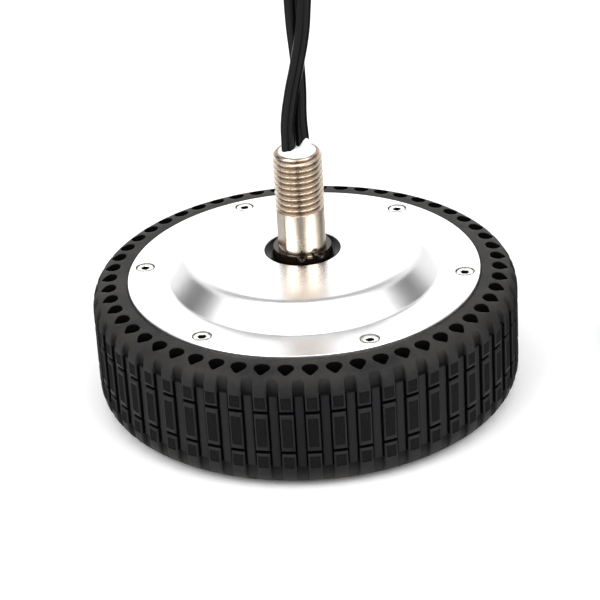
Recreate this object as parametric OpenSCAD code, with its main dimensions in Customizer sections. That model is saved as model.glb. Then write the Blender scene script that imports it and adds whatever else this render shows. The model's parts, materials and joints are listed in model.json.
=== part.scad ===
/* [Tyre] */
// Outside diameter of the tyre over the tread blocks
tyre_d = 140; // [138:1:144]
// Width of the tyre from side to side
tyre_w = 40; // [38:0.5:41]
// Diameter of the seat the tyre is pressed on
seat_d = 116; // [115.6:0.2:116.4]
// Depth of the channel in the drum that keys the tyre
seat_channel = 1.8; // [1:0.1:2.2]
// Width of that channel
channel_w = 24; // [20:1:26]
// Radius where the flat sidewall ends and the shoulder begins
shoulder_r = 63; // [61:0.5:65]
// Radius of the knee half way down the shoulder
knee_r = 68; // [67:0.25:68.5]
// Depth of the shoulder at the knee
knee_drop = 2; // [1.4:0.2:2.6]
// Depth of the shoulder where the tread starts
shoulder_drop = 7.5; // [6:0.5:9]
// Number of air holes round the tyre, one under each tread block
hole_count = 54; // [54:1:54]
// Radius of the circle of air holes
hole_circle = 64.4; // [64:0.1:64.8]
// Width of an air hole
hole_w = 4.8; // [4:0.1:5]
// Height of an air hole from its flat side to its point
hole_h = 5; // [4.4:0.1:5.2]
// Angle of the first air hole
hole_phase = 3.4667; // [0:0.0001:6.6667]
// Depth of the lower bars between the tread blocks
bar_depth = 1; // [0.6:0.1:1.4]
// Width of a lower bar
bar_w = 3.6; // [3:0.1:4]
// Length of a lower bar across the tyre
bar_l = 31; // [28:0.5:33]
// Distance of each cross slit from the middle of the tread
slit_offset = 7.2; // [6:0.1:8]
// Width of a cross slit
slit_w = 1.2; // [0.8:0.1:1.6]
// Depth of a cross slit
slit_depth = 1.1; // [0.8:0.1:1.4]

/* [Drum and cover] */
// Width of the metal wheel from its rear face to the cover ring
drum_w = 41.5; // [41.5:0.1:42]
// Height of the joint between drum and cover
joint_z = 36.5; // [36.5:0.1:36.5]
// Inside diameter of the drum
drum_id = 100.6; // [100.6:0.1:100.6]
// Thickness of the drum's rear wall
rear_wall = 4.5; // [4:0.25:4.5]
// Height of the ledge the steel ring rests on
ledge_z = 9; // [9:0.25:9.5]
// Height of the raised middle of the cover, at the shaft seal
plateau_z = 49.4; // [49.3:0.1:49.6]
// Drop of the raised middle from the seal to its edge
crown = 0.3; // [0.1:0.1:0.5]
// Diameter of the raised middle, where its top and its bevel would meet
plateau_d = 74.8; // [74:0.2:76]
// Radius of the rounding between top and bevel
plateau_edge = 6; // [3:0.5:6]
// Diameter of the raised middle at its foot
bevel_d = 89.4; // [89:0.2:90]
// Thickness of the cover's wall
cover_wall = 3; // [2.6:0.1:3.2]
// Diameter of the circle of cover screws
screw_pcd = 106.1; // [106:0.05:106.2]
// Number of cover screws
screw_count = 6; // [6:1:6]
// Angle of the first cover screw
screw_phase = -8.7; // [-30:0.1:30]
// Diameter of a cover screw's thread
screw_d = 3; // [3:0.5:3]
// Diameter of a cover screw's head
screw_head_d = 5.5; // [5.4:0.1:5.7]
// Height of a cover screw's head
screw_head_h = 3; // [2.8:0.1:3]
// Size across the flats of a cover screw's socket
screw_hex = 2.5; // [2.5:0.1:2.5]
// Diameter of the pocket round a screw head
screw_pocket_d = 6.5; // [6.3:0.1:6.8]
// Length of a cover screw under its head
screw_l = 10; // [8:1:12]

/* [Axle] */
// Diameter of the axle and of its thread
axle_d = 16; // [16:1:16]
// Height of the top of the axle
axle_top = 84.5; // [84:0.5:86]
// Size across the two flats of the axle
axle_af = 14; // [13.6:0.1:14.4]
// Height where the flats begin, just above the retaining ring
flat_bottom = 51; // [51:0.1:54]
// Height where the flats end and the thread begins
flat_top = 64.5; // [63:0.5:66]
// Direction that the left flat faces
flat_angle = 199; // [180:1:220]
// Diameter of the cable bore through the axle
bore_d = 10.5; // [10.2:0.1:10.8]
// Diameter of the axle where the stator sits
stator_seat_d = 20; // [20:0.5:20]
// Diameter of the rear journal
journal_d = 12; // [12:1:12]
// Thickness of the retaining ring
ring_t = 1; // [1:0.1:1]
// Depth of the retaining ring's groove
groove_depth = 0.4; // [0.3:0.05:0.5]
// Outside diameter of the retaining ring
ring_od = 19; // [18.8:0.2:19.4]

/* [Bearings] */
// Outside diameter of the front bearing
front_od = 35; // [35:1:35]
// Width of the front bearing
front_w = 11; // [11:1:11]
// Diameter of a front bearing ball
front_ball_d = 5.95; // [5.95:0.05:5.95]
// Number of balls in the front bearing
front_balls_n = 8; // [7:1:8]
// Outside diameter of the rear bearing
rear_od = 28; // [28:1:28]
// Width of the rear bearing
rear_w = 8; // [8:1:8]
// Diameter of a rear bearing ball
rear_ball_d = 4.76; // [4.76:0.02:4.76]
// Number of balls in the rear bearing
rear_balls_n = 8; // [7:1:8]
// Clearance between the balls and their tracks
ball_gap = 0.02; // [0.02:0.005:0.05]

/* [Motor] */
// Number of stator teeth
slots = 27; // [27:1:27]
// Number of rotor magnets
poles = 30; // [30:2:30]
// Outside diameter of the stator
stator_od = 88.8; // [88.4:0.1:89]
// Inside diameter of the stator laminations
stator_id = 52; // [51:0.5:52]
// Height of the lamination stack
stack_h = 18; // [16:1:18]
// Width of a stator tooth
tooth_w = 5; // [4.8:0.1:5]
// Thickness of the steel ring behind the magnets
flux_t = 2.5; // [2.5:0.1:2.5]
// Thickness of a magnet
magnet_t = 2.4; // [2:0.1:2.4]
// Width of a magnet
magnet_w = 8.8; // [8:0.1:8.8]
// Height of a magnet
magnet_h = 22; // [20:1:22]
// Height of a winding end above the stack
end_turn = 4; // [3:0.25:4]

/* [Cables] */
// Diameter of each outer cable
cable_d = 4.6; // [4.4:0.1:4.6]
// Number of turns in each cable's coil
coil_turns = 2.5; // [1.5:1:2.5]
// Radius of the inner coil at the middle of the cable
coil_r = 23; // [23:0.5:24]

/* [Hidden] */
$fn = 96;
cut = 0.5;                                    // overrun of a cutter past the face it cuts
fit_gap = 0.02;                               // radial running gap at sleeves and pockets

pitch = 360 / hole_count;
seat_r = seat_d / 2;
tyre_r = tyre_d / 2;
tyre_z = (drum_w - tyre_w) / 2;
mid_z = drum_w / 2;
axle_r = axle_d / 2;
bore_r = bore_d / 2;
stack_z = 12;                                 // underside of the laminations
stack_top = stack_z + stack_h;
ins_t = 0.8;                                  // thickness of an end insulator
hub_z = 12.5;
hub_top = 28.5;
shoulder_z = 34;                              // where the front bearing's inner ring sits
front_z = shoulder_z;
front_top = front_z + front_w;
rear_z = 3;
rear_top = rear_z + rear_w;
slot_z = 29;                                  // wire windows in the axle
slot_h = 4.6;
slot_w = 7.5;
key_w = 4;
key_l = 12;
web_t = 1.2;                                  // web that keeps the front bearing and carries the seal
seal_h = plateau_z - front_top - web_t - 0.2;
seal_r = 12.5;
web_r = 11.8;
ring_z = 49.85;
lug_r = 9.7;                                  // circle of the retaining ring's two lugs
lug_mid = -73.5;                              // direction of the gap between them
lug_half = 18.5;
ring_play = 0.3;                              // room above the retaining ring in its groove
front_pitch_r = (axle_r + front_od / 2) / 2;
rear_pitch_r = (journal_d / 2 + rear_od / 2) / 2;
drum_ir = drum_id / 2;
cap_r = 8.5;                                  // rear opening, closed by the cap
pocket_z = 2.2;                               // floor of the rear bearing's pocket
flux_ir = drum_ir - flux_t;
magnet_x = 47.55;                             // outer face of a magnet: its corners meet the steel ring
phase_xy = [-2.6, -0.7];                      // where the two cables leave the axle
hall_xy = [2, 0.9];
coil_x = 138;
coil_r2 = coil_r + cable_d + 0.05;
coil_pitch = 5.1;
coil_h = coil_turns * coil_pitch + cable_d + 0.3;
plug_z = 4;
fill_z = 78;                                  // how far down the sealant fills the cable bore
lead_z = 31.7;                                // height of the wires through the windows
cable_z = 36;                                 // where the cables' jackets end inside the axle
board_z = 34.5;                               // underside of the sensor board

// routes of the two cables, from inside the axle over the arch and down to the coil
phase_route = [[-2.6, -0.7, 36], [-2.6, -0.7, 60], [-2.6, -0.7, 80], [-2.6, -0.8, 88], [-2.4, -1.5, 95],
    [-0.8, -2.1, 105], [1.5, -2.5, 115], [3.8, -2.2, 126], [4.9, -1.2, 136], [6.2, 0, 147],
    [9, 1, 161], [15, 2, 174], [25, 3, 185], [38, 4, 193], [52, 5, 196.5], [66, 6, 196],
    [80, 8, 191], [92, 10, 182], [101, 12, 170], [107, 14, 156], [110.5, 16, 141],
    [112.5, 17.5, 126], [113.8, 19, 111], [114.6, 20, 96], [115, 20.6, 81], [115, 21, 66],
    [115, 21, 51], [115, 21, 37], [115, 19.4, 28], [115, 14.8, 21.2], [115, 8, 16.7], [115, 0, 15.1]];
hall_route = [[2, 0.9, 36], [2, 0.9, 60], [2, 0.9, 80], [1.9, 1.2, 88], [1.6, 2, 95],
    [1.9, 2.6, 105], [1.7, 2.6, 115], [1, 3, 126], [0.8, 4, 136], [1, 5.2, 147],
    [2.6, 6.4, 161], [6.8, 7.6, 175], [15, 8.8, 188], [27, 10, 198], [41, 11, 204], [56, 12, 206],
    [71, 13, 204], [84, 14, 198], [94.5, 15, 188.5], [101.5, 16.5, 176], [105.5, 18, 162],
    [107.8, 20, 147], [109, 22, 132], [109.7, 23.5, 117], [110, 24.5, 102], [110.3, 25, 87],
    [110.3, 25, 72], [110.3, 25, 57], [110.3, 24.6, 43], [110.3, 22.4, 30], [110.3, 17, 22],
    [110.3, 9.2, 16.8], [110.3, 0, 15.1]];
phase_tail = [[161, 0, 2.4], [161, 12, 2.4], [160.6, 24, 2.4], [159.2, 36, 3.2], [157.5, 46, 4]];
hall_tail = [[165.7, 0, 2.4], [166.2, 12, 2.4], [168.2, 23, 2.4], [171.4, 32, 3.2], [174, 40, 4]];
phase_plug_at = [157.5, 46];
hall_plug_at = [174, 40];

function unit(v) = v / norm(v);
function heading(p, i) =
    i == 0 ? unit(p[1] - p[0]) :
    i == len(p) - 1 ? unit(p[i] - p[i - 1]) :
    unit(unit(p[i + 1] - p[i]) + unit(p[i] - p[i - 1]));
function side(v, last) = unit(last - (last * v) * v);
function sides(p, i = 0, last = [1, 0.2, 0], out = []) =
    i == len(p) ? out : let (s = side(heading(p, i), last)) sides(p, i + 1, s, concat(out, [s]));
function ring_points(c, v, s, r, n) =
    let (t = cross(v, s)) [for (k = [0 : n - 1]) c + r * (cos(360 * k / n) * s + sin(360 * k / n) * t)];

module tube(p, d, n = 10) {
    s = sides(p);
    m = len(p);
    pts = [for (i = [0 : m - 1]) each ring_points(p[i], heading(p, i), s[i], d / 2, n)];
    walls = [for (i = [0 : m - 2], k = [0 : n - 1])
        let (a = i * n + k, b = i * n + (k + 1) % n) each [[a, a + n, b], [b, a + n, b + n]]];
    ends = [[for (k = [0 : n - 1]) k], [for (k = [n - 1 : -1 : 0]) (m - 1) * n + k]];
    polyhedron(pts, concat(ends, walls));
}
module ring(r1, r2, z, h) {
    translate([0, 0, z]) difference() {
        cylinder(r = r2, h = h);
        translate([0, 0, -cut]) cylinder(r = r1, h = h + 2 * cut);
    }
}
module turned(points) { rotate_extrude() polygon(points); }
module round_array(n, phase = 0) { for (i = [0 : n - 1]) rotate([0, 0, phase + 360 * i / n]) children(); }
module torus(r, d, z) { translate([0, 0, z]) rotate_extrude() translate([r, 0]) circle(d = d, $fn = 48); }

// ---- stationary part ----
module axle() {
    color("lightsteelblue") difference() {
        union() {
            translate([0, 0, rear_z - 0.4]) cylinder(r1 = journal_d / 2 - 0.4, r2 = journal_d / 2, h = 0.4);
            translate([0, 0, rear_z]) cylinder(r = journal_d / 2, h = rear_w);
            translate([0, 0, rear_top]) cylinder(r = 8.4, h = 0.6);
            translate([0, 0, rear_top + 0.6]) cylinder(r = 12, h = hub_z - rear_top - 0.6);
            translate([0, 0, hub_z]) cylinder(r = stator_seat_d / 2, h = shoulder_z - hub_z);
            translate([0, 0, shoulder_z]) cylinder(r = axle_r, h = axle_top - 1 - shoulder_z);
            translate([0, 0, axle_top - 1]) cylinder(r1 = axle_r, r2 = axle_r - 1, h = 1);
        }
        translate([0, 0, slot_z]) cylinder(r = bore_r, h = axle_top - slot_z + cut);
        for (s = [-1, 1]) translate([s * axle_r, 0, slot_z + slot_h / 2])
            cube([10, slot_w, slot_h], center = true);
        for (a = [0, 180]) rotate([0, 0, flat_angle + a])
            translate([axle_af / 2, -axle_d, flat_bottom]) cube([axle_d, 2 * axle_d, flat_top - flat_bottom]);
        ring(axle_r - groove_depth, axle_r + cut, ring_z - fit_gap, ring_t + ring_play);
        key(5);
    }
}
module key(t) {
    rotate([0, 0, 90]) translate([stator_seat_d / 2 - 2.5, -key_w / 2, hub_z]) cube([t, key_w, key_l]);
}
module axle_key() { color("dimgray") key(4.5); }
module stator_hub() {
    color("silver") difference() {
        union() {
            ring(stator_seat_d / 2, 15, hub_z, hub_top - hub_z);
            ring(14, 25, hub_z + 5, 6);
            ring(23.5, stator_id / 2, hub_z, stack_top - 0.5 - hub_z);
        }
        rotate([0, 0, 90]) translate([stator_seat_d / 2 - 1, -key_w / 2, hub_z - cut])
            cube([3, key_w, hub_top - hub_z + 2 * cut]);
        round_array(6, 30) translate([19.2, 0, hub_z]) cylinder(r = 3.4, h = stack_h);
    }
}
module slot_cutter(z, h) {
    r1 = 31.5;
    r2 = stator_od / 2 - 2;
    half = 180 / slots;
    w1 = r1 * tan(half) - tooth_w / 2 / cos(half);
    w2 = r2 * tan(half) - tooth_w / 2 / cos(half);
    translate([0, 0, z]) linear_extrude(h) union() {
        polygon([[r1, -w1], [r2, -w2], [r2, w2], [r1, w1]]);
        translate([r2 - 0.2, -1]) square([4, 2]);
    }
}
module stator_section(z, h, r) {
    difference() {
        ring(stator_id / 2, r, z, h);
        round_array(slots, 180 / slots) slot_cutter(z - cut, h + 2 * cut);
    }
}
module stator_core() { color("slategray") stator_section(stack_z, stack_h, stator_od / 2); }
module insulator_front() { color("ivory") stator_section(stack_top, ins_t, stator_od / 2 - 0.3); }
module insulator_rear() { color("ivory") stator_section(stack_z - ins_t, ins_t, stator_od / 2 - 0.3); }
module tooth_coil() {
    r1 = 32;
    r2 = 42;
    w1 = 0.95;                                // thickness of the winding near the axle
    w2 = 2.15;                                // and near the air gap
    in = tooth_w / 2 + 0.1;
    low = stack_z - end_turn;
    h = stack_h + 2 * end_turn;
    difference() {
        translate([0, 0, low]) linear_extrude(h)
            polygon([[r1, -in - w1], [r2, -in - w2], [r2, in + w2], [r1, in + w1]]);
        translate([r1 - 1, -in, stack_z - ins_t]) cube([r2 - r1 + 2, 2 * in, stack_h + 2 * ins_t]);
    }
}
module phase_winding(k) {
    color("peru") for (i = [0 : slots / 3 - 1]) rotate([0, 0, 360 * (3 * i + k) / slots]) tooth_coil();
}
module winding_u() { phase_winding(0); }
module winding_v() { phase_winding(1); }
module winding_w() { phase_winding(2); }
module lead(x, y, to, z, top, d) {
    translate([x, y, z]) cylinder(d = d, h = top - z, $fn = 24);
    translate([x, y, z]) sphere(d = d, $fn = 24);
    translate([min(x, to), y, z]) rotate([0, 90, 0]) cylinder(d = d, h = abs(to - x), $fn = 24);
}
module phase_leads() {
    color("gold") for (i = [-1 : 1]) lead(phase_xy[0], phase_xy[1] + 1.4 * i, -31.7, lead_z, cable_z, 1.3);
}
module hall_leads() {
    d = 0.8;
    end_x = 29;
    color("crimson") for (i = [-2 : 2]) {
        y = hall_xy[1] + 0.85 * i;
        lead(hall_xy[0], y, end_x, lead_z, cable_z, d);
        translate([end_x, y, lead_z]) sphere(d = d, $fn = 24);
        translate([end_x, y, lead_z]) cylinder(d = d, h = board_z - lead_z, $fn = 24);
    }
}
module hall_board() {
    color("darkgreen") difference() {
        rotate([0, 0, -50]) translate([0, 0, board_z]) rotate_extrude(angle = 100)
            translate([27, 0]) square([17, 1.2]);
        for (a = [-40, 40]) rotate([0, 0, a]) translate([29.5, 0, board_z - cut]) cylinder(d = 2.2, h = 3);
    }
}
module hall_sensors() {
    color("black") for (a = [-40, 0, 40]) rotate([0, 0, a]) {
        translate([42.3, -2, 31]) cube([1.5, 4, 3.2]);
        for (y = [-1.3, 0, 1.3]) translate([43, y - 0.2, 34.2]) cube([0.4, 0.4, 0.3]);
    }
}
module race_inner(r, rp, ball, z, w, land) {
    difference() {
        ring(r, rp - land, z, w);
        torus(rp, ball + 2 * ball_gap, z + w / 2);
    }
}
module race_outer(r, rp, ball, z, w, land) {
    difference() {
        ring(rp + land, r, z, w);
        torus(rp, ball + 2 * ball_gap, z + w / 2);
    }
}
module front_bearing_inner() {
    color("gainsboro") race_inner(axle_r, front_pitch_r, front_ball_d, front_z, front_w, 1.7);
}
module rear_bearing_inner() {
    color("gainsboro") race_inner(journal_d / 2, rear_pitch_r, rear_ball_d, rear_z, rear_w, 1.4);
}
module spacer_sleeve() { color("dimgray") ring(axle_r + 0.05, 9.4, front_top, ring_z - front_top); }
module lugs() { for (s = [-1, 1]) rotate([0, 0, lug_mid + s * lug_half]) children(); }
module retaining_ring() {
    color("saddlebrown") difference() {
        union() {
            ring(axle_r - groove_depth, ring_od / 2, ring_z, ring_t);
            lugs() translate([lug_r, 0, ring_z]) cylinder(r = 1.6, h = ring_t, $fn = 32);
        }
        lugs() translate([lug_r + 0.1, 0, ring_z - cut]) cylinder(r = 0.8, h = ring_t + 2 * cut, $fn = 24);
        rotate([0, 0, lug_mid]) translate([0, 0, ring_z - cut]) linear_extrude(ring_t + 2 * cut)
            polygon([[5, -0.8], [14, -1.9], [14, 1.9], [5, 0.8]]);
    }
}
module cable_seal() {
    color("white") difference() {
        union() {
            translate([0, 0, fill_z]) cylinder(r = bore_r, h = axle_top - fill_z);
            translate([0, 0, axle_top]) cylinder(r1 = 6.4, r2 = 5.4, h = 1.6);
            translate([hall_xy[0], hall_xy[1], axle_top]) cylinder(r1 = 4.2, r2 = 2.9, h = 5);
        }
        for (at = [phase_xy, hall_xy]) translate([at[0], at[1], fill_z - 1])
            cylinder(r = cable_d / 2 + 0.05, h = 20);
    }
}
module phase_cable() {
    color("black") {
        tube(phase_route, cable_d);
        tube(phase_tail, cable_d);
    }
}
module hall_cable() {
    color("black") {
        tube(hall_route, cable_d);
        tube(hall_tail, cable_d);
    }
}
module coil_solid(r) { translate([coil_x, 0, 0]) ring(r - cable_d / 2, r + cable_d / 2, 0, coil_h); }
module phase_coil() { color("black") coil_solid(coil_r); }
module hall_coil() { color("black") coil_solid(coil_r2); }
module coil_tie() {
    in = coil_r - cable_d / 2 - 0.3;
    out = coil_r2 + cable_d / 2 + 0.3;
    color("whitesmoke") translate([coil_x, 0, 0]) rotate([0, 0, -100]) difference() {
        translate([in - 1, -1.3, 0]) cube([out - in + 2, 2.6, coil_h + 1.6]);
        translate([in, -2, -cut]) cube([out - in, 4, coil_h + 0.3 + cut]);
    }
}
module phase_plug() {
    color("white") translate([phase_plug_at[0], phase_plug_at[1], 0]) difference() {
        union() {
            translate([-8, 1, 0.5]) cube([16, 18, 7]);
            translate([-7, 19, 1]) cube([14, 8, 6]);
            translate([-1.5, 6, 7.5]) cube([3, 12, 1.2]);
            translate([0, 0, plug_z]) rotate([-90, 0, 0]) cylinder(r = 3, h = 1.2);
        }
        for (x = [-4.5, 0, 4.5]) translate([x, 17, plug_z]) rotate([-90, 0, 0])
            cylinder(r = 1.6, h = 12, $fn = 32);
    }
}
module hall_plug() {
    color("white") translate([hall_plug_at[0], hall_plug_at[1], 0]) difference() {
        union() {
            translate([-7.5, 1, 1]) cube([15, 12, 6]);
            translate([-6.7, 13, 1.6]) cube([13.4, 9, 4.8]);
            translate([-3, 4, 7]) cube([6, 8, 1]);
            translate([0, 0, plug_z]) rotate([-90, 0, 0]) cylinder(r = 3, h = 1.2);
        }
        for (x = [-5 : 2.5 : 5]) translate([x - 0.6, 14, plug_z - 0.6]) cube([1.2, 9, 1.2]);
    }
}

// ---- turning part ----
module hole_section() {
    a = hole_w / 2;
    b = hole_h / 2;
    polygon([[-b, -a + 1], [-b + 1, -a], [0.3, -a], [b - 0.6, -0.9], [b, 0],
        [b - 0.6, 0.9], [0.3, a], [-b + 1, a], [-b, a - 1]]);
}
module tyre() {
    top = tyre_z + tyre_w;
    ch = channel_w / 2;
    color("dimgray") difference() {
        turned([[seat_r, tyre_z], [shoulder_r, tyre_z],
            [knee_r, tyre_z + knee_drop], [tyre_r, tyre_z + shoulder_drop],
            [tyre_r, top - shoulder_drop], [knee_r, top - knee_drop],
            [shoulder_r, top], [seat_r, top], [seat_r, mid_z + ch],
            [seat_r - seat_channel, mid_z + ch - 1], [seat_r - seat_channel, mid_z - ch + 1],
            [seat_r, mid_z - ch]]);
        round_array(hole_count, hole_phase) translate([hole_circle, 0, tyre_z - cut])
            linear_extrude(tyre_w + 2 * cut) hole_section();
        round_array(hole_count, hole_phase + pitch / 2)
            translate([tyre_r - bar_depth, -bar_w / 2, mid_z - bar_l / 2])
            cube([bar_depth + 1, bar_w, bar_l]);
        for (s = [-1, 1])
            ring(tyre_r - slit_depth, tyre_r + cut, mid_z + s * slit_offset - slit_w / 2, slit_w);
    }
}
module rotor_drum() {
    ch = channel_w / 2;
    rear_r = rear_od / 2;
    color("silver") difference() {
        turned([[cap_r, 0], [seat_r - 0.6, 0], [seat_r, 0.6], [seat_r, mid_z - ch],
            [seat_r - seat_channel, mid_z - ch + 1], [seat_r - seat_channel, mid_z + ch - 1],
            [seat_r, mid_z + ch], [seat_r, joint_z], [drum_ir, joint_z], [drum_ir, ledge_z],
            [47.4, ledge_z], [47.4, rear_wall], [18.5, rear_wall], [18, 11.3],
            [rear_r, 11.3], [rear_r, pocket_z], [cap_r, pocket_z]]);
        round_array(screw_count, screw_phase) translate([screw_pcd / 2, 0, joint_z - screw_l])
            cylinder(r = screw_d / 2, h = screw_l + cut);
    }
}
module flux_ring() { color("gray") ring(flux_ir, drum_ir, ledge_z, 24); }
module magnets() {
    color("darkgray") round_array(poles) translate([magnet_x - magnet_t, -magnet_w / 2, ledge_z + 1])
        cube([magnet_t, magnet_w, magnet_h]);
}
module front_cover() {
    edge_z = plateau_z - crown;
    lean = (bevel_d - plateau_d) / 2 / (edge_z - drum_w);
    slope = atan(1 / lean);
    arc_r = plateau_d / 2 - plateau_edge * tan(slope / 2);
    under = plateau_z - cover_wall;
    foot = bevel_d / 2 - cover_wall * 0.6;
    front_r = front_od / 2;
    spigot_r = drum_ir - 0.05;                // lip that centres the cover in the drum
    spigot_h = 2.2;
    color("gainsboro") difference() {
        turned([[web_r, front_top], [front_r, front_top], [front_r, front_z + 0.5], [21.5, front_z + 0.5],
            [22, under], [foot - (under - joint_z) * lean, under], [foot, joint_z],
            [47.5, joint_z], [47.5, joint_z - spigot_h], [spigot_r, joint_z - spigot_h], [spigot_r, joint_z],
            [seat_r, joint_z], [seat_r, drum_w - 0.4], [seat_r - 0.4, drum_w],
            [bevel_d / 2 + 0.6, drum_w], [bevel_d / 2 - 0.3, drum_w + 0.5],
            for (a = [slope : -slope / 4 : 0])
                [arc_r + plateau_edge * sin(a), edge_z - plateau_edge * (1 - cos(a))],
            [seal_r + 0.3, plateau_z], [seal_r, plateau_z - 0.3],
            [seal_r, front_top + web_t], [web_r, front_top + web_t]]);
        round_array(screw_count, screw_phase) translate([screw_pcd / 2, 0, 0]) {
            translate([0, 0, joint_z - cut]) cylinder(r = screw_d / 2, h = 10);
            translate([0, 0, drum_w - 0.2 - screw_head_h]) cylinder(r = screw_pocket_d / 2, h = 10);
        }
        ring(55.2, 56.4, joint_z - cut, cut + 0.8);
    }
}
module cover_gasket() { color("black") ring(55.25, 56.35, joint_z, 0.75); }
module cover_screws() {
    top = drum_w - 0.2;
    low = joint_z - screw_l + 2;
    head_r = screw_head_d / 2;
    color("lightgray") round_array(screw_count, screw_phase) translate([screw_pcd / 2, 0, 0]) difference() {
        union() {
            translate([0, 0, low]) cylinder(r = screw_d / 2, h = top - screw_head_h - low);
            translate([0, 0, top - screw_head_h]) cylinder(r = head_r, h = screw_head_h - 0.3);
            translate([0, 0, top - 0.3]) cylinder(r1 = head_r, r2 = head_r - 0.3, h = 0.3);
        }
        translate([0, 0, top - 1.5]) cylinder(r = screw_hex / 2 / cos(30), h = 3, $fn = 6);
    }
}
module front_bearing_outer() {
    color("gainsboro") race_outer(front_od / 2, front_pitch_r, front_ball_d, front_z, front_w, 1.9);
}
module rear_bearing_outer() {
    color("gainsboro") race_outer(rear_od / 2, rear_pitch_r, rear_ball_d, rear_z, rear_w, 1.6);
}
module front_bearing_shields() {
    color("black") for (z = [front_z + 0.2, front_top - 1])
        ring(front_pitch_r - 1.4, front_pitch_r + 1.9, z, 0.8);
}
module rear_bearing_shields() {
    color("black") for (z = [rear_z + 0.2, rear_top - 0.9])
        ring(rear_pitch_r - 1.1, rear_pitch_r + 1.6, z, 0.7);
}
module shaft_seal() {
    z = front_top + web_t;
    top = z + seal_h;
    color("black") turned([[9.7, z + 1.2], [10.4, z], [seal_r, z], [seal_r, top - 0.4], [seal_r - 0.4, top],
        [10.6, top], [10, top - 0.5], [9.7, z + 2]]);
}
module wave_washer() { color("silver") ring(10.6, 13.8, pocket_z, rear_z - pocket_z); }
module rear_cap() {
    color("black") union() {
        translate([0, 0, 0.3]) cylinder(r = cap_r, h = 1.4);
        translate([0, 0, 1.7]) cylinder(r1 = 7.6, r2 = 7.2, h = 0.4);
    }
}

// ---- rolling parts ----
module cage(rp, ball, n, z, h) {
    color("darkgoldenrod") difference() {
        ring(rp - 0.8, rp + 0.8, z - h / 2, h);
        round_array(n) translate([rp, 0, z]) sphere(d = ball + 0.2);
    }
}
module balls(rp, ball, n, z) { color("lightgray") round_array(n) translate([rp, 0, z]) sphere(d = ball); }
module front_cage() { cage(front_pitch_r, front_ball_d, front_balls_n, front_z + front_w / 2, 7.6); }
module front_balls() { balls(front_pitch_r, front_ball_d, front_balls_n, front_z + front_w / 2); }
module rear_cage() { cage(rear_pitch_r, rear_ball_d, rear_balls_n, rear_z + rear_w / 2, 5.8); }
module rear_balls() { balls(rear_pitch_r, rear_ball_d, rear_balls_n, rear_z + rear_w / 2); }

axle();
axle_key();
stator_hub();
stator_core();
insulator_front();
insulator_rear();
winding_u();
winding_v();
winding_w();
phase_leads();
hall_board();
hall_sensors();
hall_leads();
front_bearing_inner();
rear_bearing_inner();
spacer_sleeve();
retaining_ring();
cable_seal();
phase_cable();
hall_cable();
phase_coil();
hall_coil();
coil_tie();
phase_plug();
hall_plug();
tyre();
rotor_drum();
flux_ring();
magnets();
front_cover();
cover_gasket();
cover_screws();
front_bearing_outer();
front_bearing_shields();
shaft_seal();
rear_bearing_outer();
rear_bearing_shields();
wave_washer();
rear_cap();
front_cage();
front_balls();
rear_cage();
rear_balls();
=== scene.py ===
import bpy, bmesh, math, json
from mathutils import Vector, Matrix, noise


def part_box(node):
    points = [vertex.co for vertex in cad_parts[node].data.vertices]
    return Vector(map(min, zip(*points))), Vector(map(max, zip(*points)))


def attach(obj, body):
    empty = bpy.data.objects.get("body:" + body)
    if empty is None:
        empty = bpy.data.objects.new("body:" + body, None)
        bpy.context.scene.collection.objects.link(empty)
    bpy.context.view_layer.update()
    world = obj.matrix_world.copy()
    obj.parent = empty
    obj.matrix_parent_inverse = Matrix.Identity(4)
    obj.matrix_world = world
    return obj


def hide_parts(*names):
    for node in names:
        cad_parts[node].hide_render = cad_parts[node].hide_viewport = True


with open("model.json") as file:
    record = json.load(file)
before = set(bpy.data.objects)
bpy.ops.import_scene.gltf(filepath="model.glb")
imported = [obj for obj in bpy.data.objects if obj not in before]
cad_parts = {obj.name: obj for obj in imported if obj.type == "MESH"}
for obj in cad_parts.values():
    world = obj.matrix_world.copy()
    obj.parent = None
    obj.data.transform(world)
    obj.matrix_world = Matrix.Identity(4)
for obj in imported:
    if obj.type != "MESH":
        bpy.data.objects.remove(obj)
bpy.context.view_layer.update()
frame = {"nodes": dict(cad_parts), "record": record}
scene = bpy.context.scene
scene.view_settings.view_transform = "Standard"
MM = 0.001


def mm(*v):
    """A place or a direction given in millimetres, in metres."""
    return Vector(v) * MM


def heights(name):
    """Lowest and highest place of a CAD node, in millimetres."""
    low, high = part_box(name)
    return round(low[2] / MM, 2), round(high[2] / MM, 2)


def foot(name):
    """Middle across and nearest end along Y of a CAD node, in millimetres."""
    low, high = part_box(name)
    return round((low[0] + high[0]) / 2 / MM, 1), round(low[1] / MM, 1)


# ------------------------------------------------------------------ camera
CAMERA_ELEVATION, CAMERA_ROLL = 28.09, 3.33   # degrees
CAMERA_DISTANCE, PIVOT_Z = 0.823, 0.03075     # metres, from a point on the wheel's axis
AIM_RIGHT, AIM_UP = 0.00223, 0.00068          # a small turn that sets the object in its place in the frame
LENS, SENSOR = 149.2, 36


def make_camera():
    elevation, roll = math.radians(CAMERA_ELEVATION), math.radians(CAMERA_ROLL)
    back = Vector((0, -math.cos(elevation), math.sin(elevation)))
    right = Vector((1, 0, 0))
    up = back.cross(right)
    place = Vector((0, 0, PIVOT_Z)) + back * CAMERA_DISTANCE
    back = (back + right * AIM_RIGHT + up * AIM_UP).normalized()
    right = (right - right.dot(back) * back).normalized()
    up = back.cross(right)
    x = right * math.cos(roll) - up * math.sin(roll)
    y = right * math.sin(roll) + up * math.cos(roll)
    data = bpy.data.cameras.new("camera")
    data.lens = LENS
    data.sensor_width = SENSOR
    data.clip_start, data.clip_end = 0.05, 20
    cam = bpy.data.objects.new("camera", data)
    cam.matrix_world = Matrix((x, y, back)).transposed().to_4x4()
    cam.location = place
    scene.collection.objects.link(cam)
    scene.camera = cam


make_camera()


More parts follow.
